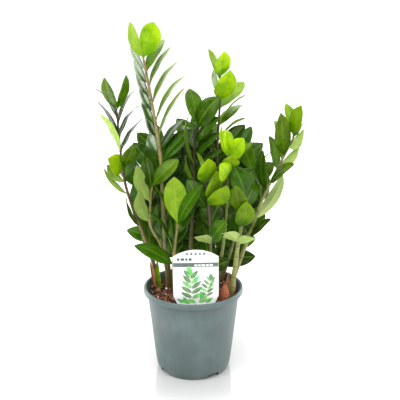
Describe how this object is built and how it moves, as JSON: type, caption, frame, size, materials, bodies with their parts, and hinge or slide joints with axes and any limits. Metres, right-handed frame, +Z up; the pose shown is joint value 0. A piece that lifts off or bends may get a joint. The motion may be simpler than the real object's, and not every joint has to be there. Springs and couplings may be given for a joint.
{
  "type": "potted zz plant",
  "caption": "Upright houseplant with arching fronds of thick glossy leaflets, growing in bark soil in a round tapered plastic nursery pot with drain notches and a blank-style plant label.",
  "frame": {"origin": "centre of the pot's underside", "axes": "+Z up along the pot's axis; -Y is the front, where the label stands; +X is to the right seen from the front"},
  "size_m": [0.3462, 0.236, 0.5953],
  "materials": {
    "pot_plastic": "satin grey-green moulded polypropylene",
    "bark_soil": "coarse red-brown bark and coir with pale perlite, matte",
    "label_card": null,
    "leaf_green": "thick waxy leaflets, glossy dark green above, paler below, yellow-green when young, on olive to brown stems",
    "tuber_skin": "dry red-brown skin, matte",
    "papery_sheath": "thin dry orange-brown bract, matte"
  },
  "bodies": {
    "root": {"pot": "pot_plastic", "soil": "bark_soil", "plant_label": "label_card", "frond_tall_left": "leaf_green", "frond_left": "leaf_green", "frond_centre": "leaf_green", "frond_centre_tall": "leaf_green", "frond_young": "leaf_green", "frond_right": "leaf_green", "frond_right_rear": "leaf_green", "frond_thick": "leaf_green", "frond_front_right": "leaf_green", "frond_front_left": "leaf_green", "frond_pale_left": "leaf_green", "frond_rear_left": "leaf_green", "frond_rear_centre": "leaf_green", "frond_rear_right": "leaf_green", "frond_side_left": "leaf_green", "young_shoot": "leaf_green", "rhizome_tip": "tuber_skin", "sheath_right": "papery_sheath", "sheath_middle": "papery_sheath", "sheath_left": "papery_sheath"}
  },
  "joints": []
}
